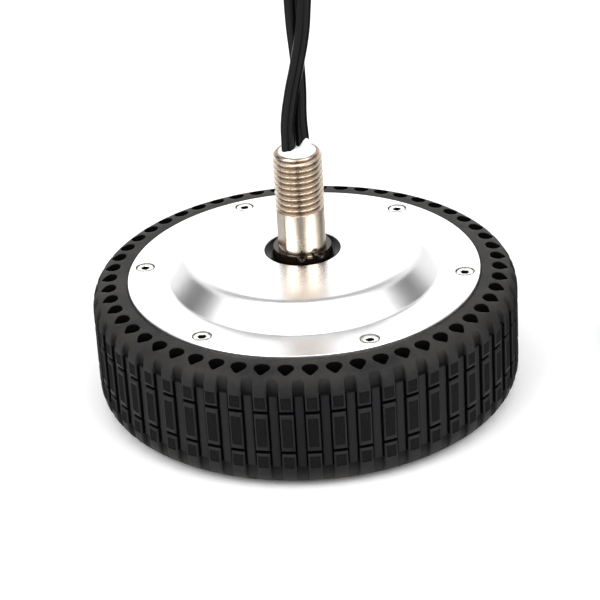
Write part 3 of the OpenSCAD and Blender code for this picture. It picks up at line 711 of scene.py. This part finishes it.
def build_tyre():
    """One block and one air hole on half of the tyre's width, mirrored and repeated round the wheel."""
    verts, faces, kinds = [], [], []

    def put(x, r, z):
        verts.append((x / TREAD_R, r, z))
        return len(verts) - 1

    def add(kind, *face):
        faces.append(face)
        kinds.append(kind)
    # tread and shoulder, from the middle line outward
    strips = [column_rows(j) for j in range(len(COLS) - 1)]
    grid, depth = {}, {}
    for j, x in enumerate(COLS):
        for i in sorted(set(strips[max(0, j - 1)] + strips[min(j, len(strips) - 1)])):
            p, n = along(ROWS[i])
            depth[i, j] = tread_depth(x, ROWS[i], p.x)
            grid[i, j] = put(x, *(p - n * depth[i, j]))
    for j, strip in enumerate(strips):
        for low, high in zip(strip, strip[1:]):
            x, s = (COLS[j] + COLS[j + 1]) / 2, (ROWS[low] + ROWS[high]) / 2
            outline = [grid[i, j] for i in range(high, low - 1, -1) if (i, j) in grid]
            outline += [grid[i, j + 1] for i in range(low, high + 1) if (i, j + 1) in grid]
            if in_patch(x, s):
                # a textured patch of small pyramids, in the darker rubber that paints shade on it
                p, n = along(s)
                tip = put(x, *(p - n * 0.04))
                for a, b in zip(outline, outline[1:] + outline[:1]):
                    add(PATCH_SHADE, a, b, tip)
            else:
                corners = [depth[i, k] for i in (low, high) for k in (j, j + 1)]
                deep = max(corners) > 1.4 and min(corners) > 0.3
                add(SHADE if deep and s < BAR_END - 0.06 else RUBBER, *outline)
    # side wall with the air hole in it, on fewer columns
    wide = [j for j, x in enumerate(COLS) if abs(x) in WIDE]
    sides = [WALL_FROM + (WALL_TO - WALL_FROM) * k / WALL_STEPS for k in range(1, WALL_STEPS)]
    rim = [(COLS[j], WALL_FROM) for j in wide] + [(HALF, s) for s in sides]
    rim += [(COLS[j], WALL_TO) for j in reversed(wide)] + [(-HALF, s) for s in reversed(sides)]
    shape = hole_outline()
    shrink = HOLE_RING_R / TREAD_R
    hole = [ray_hit(shape, math.atan2(-(s - HOLE_S), x * shrink)) for x, s in rim]
    rings = [[]]
    for x, s in rim:
        p, _ = along(s)
        rings[0].append(put(x, p.x, p.y))
    for k in range(len(wide) - 1):
        shoulder = [grid[len(ROWS) - 1, j] for j in range(wide[k], wide[k + 1] + 1)]
        add(RUBBER, *shoulder, rings[0][k + 1], rings[0][k])
    # a ring halfway to the hole, then the hole's rounded mouth
    for f, drop, grow in ((0.5, 0, 0.0), (1.0, 0.0, 0.16), (1.0, 0.05, 0.05), (1.0, 0.18, 0.0)):
        ring = []
        for (x, s), h in zip(rim, hole):
            g = h.normalized() * grow
            hx, hs = (h.x + g.x) / shrink, HOLE_S - (h.y + g.y)
            cx, cs = x + (hx - x) * f, s + (hs - s) * f
            p, _ = along(cs)
            ring.append(put(cx, p.x, p.y - drop))
        rings.append(ring)
    deep = []
    for z in (12.0, 0.0):
        ring = []
        for h in hole:
            p, _ = along(HOLE_S - h.y)
            ring.append(put(h.x / shrink, p.x, z))
        deep.append(ring)
    m = len(rim)
    for a, b in zip(rings + deep[:-1], rings[1:] + deep):
        for k in range(m):
            after = (k + 1) % m
            add(SHADE if b in deep or b is rings[-1] else RUBBER, a[k], a[after], b[after], b[k])
    # bead and inside face
    last = rings[0][len(wide) + len(sides):][:len(wide)][::-1]
    for r, z in SHOULDER[-3:] + SEAT:
        line = [put(COLS[j], r, z) for j in wide]
        for k in range(len(wide) - 1):
            add(RUBBER, last[k], last[k + 1], line[k + 1], line[k])
        last = line
    # mirror, then repeat round the wheel
    n = len(verts)
    faces += [tuple(i + n for i in reversed(f)) for f in faces]
    verts += [(a, r, -z) for a, r, z in verts]
    all_verts, all_faces = [], []
    for h in range(HOLES):
        base = HOLE_PHASE + h * PITCH
        first = len(all_verts)
        for a, r, z in verts:
            all_verts.append((r * math.cos(base + a) * MM, r * math.sin(base + a) * MM, (MID_Z + z) * MM))
        all_faces += [tuple(i + first for i in f) for f in faces]
    return all_verts, all_faces, kinds * 2 * HOLES


def make_tyre():
    verts, faces, kinds = build_tyre()
    tyre = link_mesh("tyre_detail", verts, faces, MAT["tyre_rubber"], 48, kinds, [RUBBER_SHADE, RUBBER_PATCH_SHADE])
    finish_piece(tyre, "rotor", "tyre_rubber", "tyre")


make_tyre()


# ------------------------------------------------------------------ axle
THREAD_PITCH = 2.0
CREST, ROOT = 0.1, 0.88             # the thread's flat crest and where its root begins, of half a pitch
CHAMFER_H, CHAMFER_R = 1.1, 6.65


def thread_radius(z, a):
    """Radius of the thread at a height and an angle."""
    f = (z / THREAD_PITCH - a / (2 * math.pi)) % 1.0
    d = abs(f - 0.5) * 2.0
    if d < CREST:
        r = AXLE_R
    elif d < ROOT:
        r = AXLE_R - (d - CREST) / (ROOT - CREST) * (AXLE_R - ROOT_R)
    else:
        r = ROOT_R
    r = max(r, AXLE_R - max(0.0, (z - RUN_OUT)) * 1.1)
    top = AXLE_R - max(0.0, z - (AXLE_TOP - CHAMFER_H)) * 0.95
    return min(r, max(top, CHAMFER_R))


def build_axle():
    """Rings of points up the axle, over the thread and down its bore; the thread's rings have no radius."""
    seg = 192
    rows = [(0, 2.6), (5.5, 2.6), (6, 3.1), (6, 11), (8.4, 11), (8.4, 11.6), (12, 11.6), (12, 12.5),
            (10, 12.5), (10, 34), (8, 34), (8, 49.8), (7.6, 49.83), (7.6, 50.98), (7.6, 51.02),
            (7.6, 51.13), (8, 51.16), (8, 56), (8, 60), (8, 64.48), (8, 64.52)]
    z = FLAT_TOP + 0.1
    while z < AXLE_TOP - 0.01:
        rows.append((None, z))
        z += 0.1
    rows += [(None, AXLE_TOP), (BORE_R + 0.35, AXLE_TOP), (BORE_R, AXLE_TOP - 0.4), (BORE_R, 60),
             (BORE_R, 29), (0, 29)]
    verts, faces = [], []
    for r0, z in rows:
        for i in range(seg):
            a = 2 * math.pi * i / seg
            r = thread_radius(z, a) if r0 is None else r0
            if r0 is not None and r0 > FLAT_HALF and FLAT_LOW <= z <= FLAT_TOP:
                c = abs(math.cos(a - FLAT_TURN))
                if r * c > FLAT_HALF:
                    r = FLAT_HALF / c
            verts.append((r * math.cos(a) * MM, r * math.sin(a) * MM, z * MM))
    for k in range(len(rows) - 1):
        faces += band(k * seg, (k + 1) * seg, seg)
    return verts, faces


def make_axle():
    axle = link_mesh("axle_threaded", *build_axle(), MAT["nickel_steel"], 32)
    finish_piece(axle, "stator", "nickel_steel", "axle")


make_axle()


# ------------------------------------------------------------------ cover, screws, seal, sealant
POCKET_R, TAPPING_R = 3.25, 1.5
SCREW_TURNS = (0.3, 1.1, 0.75, 0.1, 0.5, 0.9)    # how far round each screw was left, in radians
SOCKET_AF, SOCKET_DEEP = 2.5, 1.5
# closed outlines of (radius, height, corner radius)
COVER_OUTLINE = [
    (11.8, 45, 0.2), (17.5, 45), (17.5, 34.5, 0.3), (21.5, 34.5, 0.5), (22, 46.4, 2.0), (33.4, 46.4, 1.5),
    (42.9, 36.5), (47.5, 36.5), (47.5, 34.3, 0.3), (50.25, 34.3, 0.3), (50.25, 36.5), (58, 36.5),
    (58, RIM_TOP, 0.35), (44.75, RIM_TOP, 2.2), (37.4, COVER_TOP - 0.3, 6), (12.5, COVER_TOP, 0.3),
    (12.5, 46.2), (11.8, 46.2)]
SEAL_OUTLINE = [
    (9.72, 47.4, 0.1), (10.4, 46.2), (12.48, 46.2), (12.48, 49.15, 0.15), (12.15, 49.15, 0.1),
    (10.3, 48.4, 0.2), (9.75, 48.2, 0.2)]


def screw_place(i):
    """Where a screw's axis stands, in millimetres."""
    a = SCREW_PHASE + i * 2 * math.pi / SCREWS
    return SCREW_R * math.cos(a), SCREW_R * math.sin(a)


def make_cover():
    """The turned cover, with a pocket and a smaller hole cut for each screw."""
    cover = lathe("cover_turned", COVER_OUTLINE, MAT["cover_aluminium"], 256, 8)
    pockets = bmesh.new()
    for i in range(SCREWS):
        x, y = screw_place(i)
        for radius, low, high, sides in ((POCKET_R, HEAD_LOW, HEAD_LOW + 8, 48), (TAPPING_R, 33, 39, 32)):
            bmesh.ops.create_cone(pockets, cap_ends=True, segments=sides, radius1=radius * MM,
                                  radius2=radius * MM, depth=(high - low) * MM,
                                  matrix=Matrix.Translation(mm(x, y, (low + high) / 2)))
    cutter = as_object("pockets", pockets)
    cutter.data.materials.append(SHADED_METAL)
    combine(cover, [(cutter, "DIFFERENCE")])
    tidy(cover, 30)
    finish_piece(cover, "rotor", "cover_aluminium", "front_cover")


def build_screw():
    """One socket head screw, standing on the axis; the last faces that it counts are inside its socket."""
    low, top, seg = HEAD_LOW, HEAD_TOP, 48
    outline = [(0, SCREW_LOW), (1.2, SCREW_LOW), (1.5, SCREW_LOW + 0.3), (1.5, low), (2.6, low),
               (2.75, low + 0.15), (2.75, top - 0.35), (2.66, top - 0.1), (2.45, top)]
    verts, faces = [], []
    for r, z in outline:
        for i in range(seg):
            a = 2 * math.pi * i / seg
            knurl = 0.04 * (i % 2) if 2.7 < r and z > low + 0.2 else 0
            verts.append(((r - knurl) * math.cos(a), (r - knurl) * math.sin(a), z))
    for k in range(len(outline) - 1):
        faces += band(k * seg, (k + 1) * seg, seg)

    def hexagon(af, z):
        base = len(verts)
        for i in range(seg):
            a = 2 * math.pi * i / seg
            r = af / 2 / math.cos((a + math.pi / 6) % (math.pi / 3) - math.pi / 6)
            verts.append((r * math.cos(a), r * math.sin(a), z))
        return base
    chain = [len(verts) - seg, hexagon(SOCKET_AF + 0.3, top), hexagon(SOCKET_AF, top - 0.15),
             hexagon(SOCKET_AF, top - SOCKET_DEEP)]
    for a, b in zip(chain, chain[1:]):
        faces += band(a, b, seg)
    verts.append((0, 0, top - SOCKET_DEEP - 0.3))
    faces += [(chain[-1] + i, chain[-1] + (i + 1) % seg, len(verts) - 1) for i in range(seg)]
    return verts, faces, 2 * seg


def make_screws():
    one_verts, one_faces, socket = build_screw()
    verts, faces, kinds = [], [], []
    for i, turn in enumerate(SCREW_TURNS):
        sx, sy = screw_place(i)
        first = len(verts)
        for x, y, z in one_verts:
            verts.append(mm(sx + x * math.cos(turn) - y * math.sin(turn),
                            sy + x * math.sin(turn) + y * math.cos(turn), z))
        faces += [tuple(q + first for q in f) for f in one_faces]
        kinds += [0] * (len(one_faces) - socket) + [1] * socket
    screws = link_mesh("socket_screws", verts, faces, MAT["screw_steel"], 35, kinds, [SHADED_METAL])
    finish_piece(screws, "rotor", "screw_steel", "cover_screws")


def make_seal():
    seal = lathe("lip_seal", SEAL_OUTLINE, MAT["seal_rubber"], 192, 4)
    finish_piece(seal, "rotor", "seal_rubber", "shaft_seal")


def build_sealant():
    """White sealant that fills the cable bore and stands up round the cables."""
    seg, rings = 96, 22
    verts, faces = [], []
    for k in range(rings + 1):
        f = k / rings
        for i in range(seg):
            a = 2 * math.pi * i / seg
            edge = 6.15 + 0.35 * noise.noise(Vector((math.cos(a) * 1.7, math.sin(a) * 1.7, 3.1)))
            r = edge * f
            x, y = r * math.cos(a), r * math.sin(a)
            h = 1.3 * (1 - f ** 4) + 0.3 * noise.noise(Vector((x * 0.6, y * 0.6, 7.7)))
            h += 0.14 * noise.noise(Vector((x * 1.7, y * 1.7, 2.2)))
            h += 3.5 * math.exp(-(math.hypot(x - 3.3, y + 1.3) / 1.9) ** 2)  # a peak beside a cable
            h += 0.5 * math.exp(-(math.hypot(x + 2.6, y + 0.7) / 2.9) ** 4) * (1 - f)
            verts.append(mm(x, y, AXLE_TOP + max(0.05, h) * (1 - f ** 10)))
    for k in range(rings):
        faces += band(k * seg, (k + 1) * seg, seg)
    last = rings * seg
    for r, z in ((5.2, AXLE_TOP - 0.3), (5.2, 78), (0, 78)):
        faces += band(last, len(verts), seg)
        last = len(verts)
        for i in range(seg):
            a = 2 * math.pi * i / seg
            verts.append(mm(r * math.cos(a), r * math.sin(a), z))
    return verts, faces


def make_sealant():
    sealant = link_mesh("sealant", *build_sealant(), MAT["silicone"], 60)
    finish_piece(sealant, "stator", "silicone", "cable_seal")


make_cover()
make_screws()
make_seal()
make_sealant()


# ------------------------------------------------------------------ room and light
def make_room():
    """A plain pale floor and an even white surrounding."""
    me = bpy.data.meshes.new("floor")
    s = 6.0
    me.from_pydata([(-s, -s, 0), (s, -s, 0), (s, s, 0), (-s, s, 0)], [], [(0, 1, 2, 3)])
    floor = bpy.data.objects.new("floor", me)
    scene.collection.objects.link(floor)
    m, nt, bsdf = new_material("floor")
    bsdf.inputs["Base Color"].default_value = (0.92, 0.92, 0.92, 1)
    bsdf.inputs["Roughness"].default_value = 0.6
    bsdf.inputs["Specular IOR Level"].default_value = 0.2
    me.materials.append(m)
    world = bpy.data.worlds.new("studio")
    scene.world = world
    world.use_nodes = True
    nt = world.node_tree
    bg = nt.nodes["Background"]
    bg.inputs["Color"].default_value = (1, 1, 1, 1)
    bg.inputs["Strength"].default_value = 1.0


CENTRE = Vector((0, 0, 0.045))


def ray(azimuth, elevation):
    """Direction from the object: azimuth from the camera's side, positive to the right, in degrees."""
    a, e = math.radians(azimuth), math.radians(elevation)
    return Vector((math.sin(a) * math.cos(e), -math.cos(a) * math.cos(e), math.sin(e)))


def softbox(name, azimuth, elevation, width, height, radiance, distance=1.1):
    """A large soft light that faces the object."""
    data = bpy.data.lights.new(name, "AREA")
    data.shape = "RECTANGLE"
    data.size, data.size_y = width, height
    data.energy = radiance * math.pi * width * height
    o = bpy.data.objects.new(name, data)
    d = ray(azimuth, elevation)
    o.location = CENTRE + d * distance
    o.rotation_mode = "QUATERNION"
    o.rotation_quaternion = (-d).to_track_quat("-Z", "Y")
    o.visible_camera = False
    scene.collection.objects.link(o)


def card(name, azimuths, elevations, light, distance=1.3, steps=8):
    """A card that shows only in reflections, bright or dark.

    It is curved round the object, or flat on the floor between two radii where the distance is 0.
    """
    verts, faces = [], []
    for i in range(steps + 1):
        a = azimuths[0] + (azimuths[1] - azimuths[0]) * i / steps
        if distance:
            verts += [CENTRE + ray(a, e) * distance for e in elevations]
        else:
            verts += [ray(a, 0) * r + Vector((0, 0, 0.001)) for r in elevations]
    for i in range(steps):
        faces.append((2 * i, 2 * i + 2, 2 * i + 3, 2 * i + 1))
    me = bpy.data.meshes.new(name)
    me.from_pydata(verts, [], faces)
    o = bpy.data.objects.new(name, me)
    scene.collection.objects.link(o)
    m, nt, bsdf = new_material(name)
    bsdf.inputs["Base Color"].default_value = (0, 0, 0, 1)
    bsdf.inputs["Specular IOR Level"].default_value = 0.0
    bsdf.inputs["Emission Color"].default_value = (1, 1, 1, 1)
    bsdf.inputs["Emission Strength"].default_value = light
    me.materials.append(m)
    o.visible_camera = o.visible_diffuse = o.visible_shadow = False


make_room()
softbox("softbox_left", -50, 38, 0.7, 0.8, 3.0)
softbox("softbox_right", 46, 38, 0.7, 0.8, 3.0)
softbox("overhead", 0, 88, 0.8, 0.8, 1.5)
card("board_back", (150, 210), (4, 38), 1.9)
card("flag_back", (128, 232), (43, 74), 0.25)
card("flag_camera", (-22, 16), (10, 42), 0.02)
card("flag_right", (89, 123), (13, 40), 0.0)
card("flag_left", (-131, -94), (11, 40), 0.0)
card("board_left", (-72, -30), (14, 60), 2.6)
card("board_right", (24, 62), (14, 60), 2.6)
card("floor_front", (-13, 9), (0.075, 0.7), 0.15, 0)
card("floor_right", (84, 150), (0.075, 0.7), 0.05, 0)
card("floor_left", (-150, -96), (0.075, 0.7), 0.3, 0)
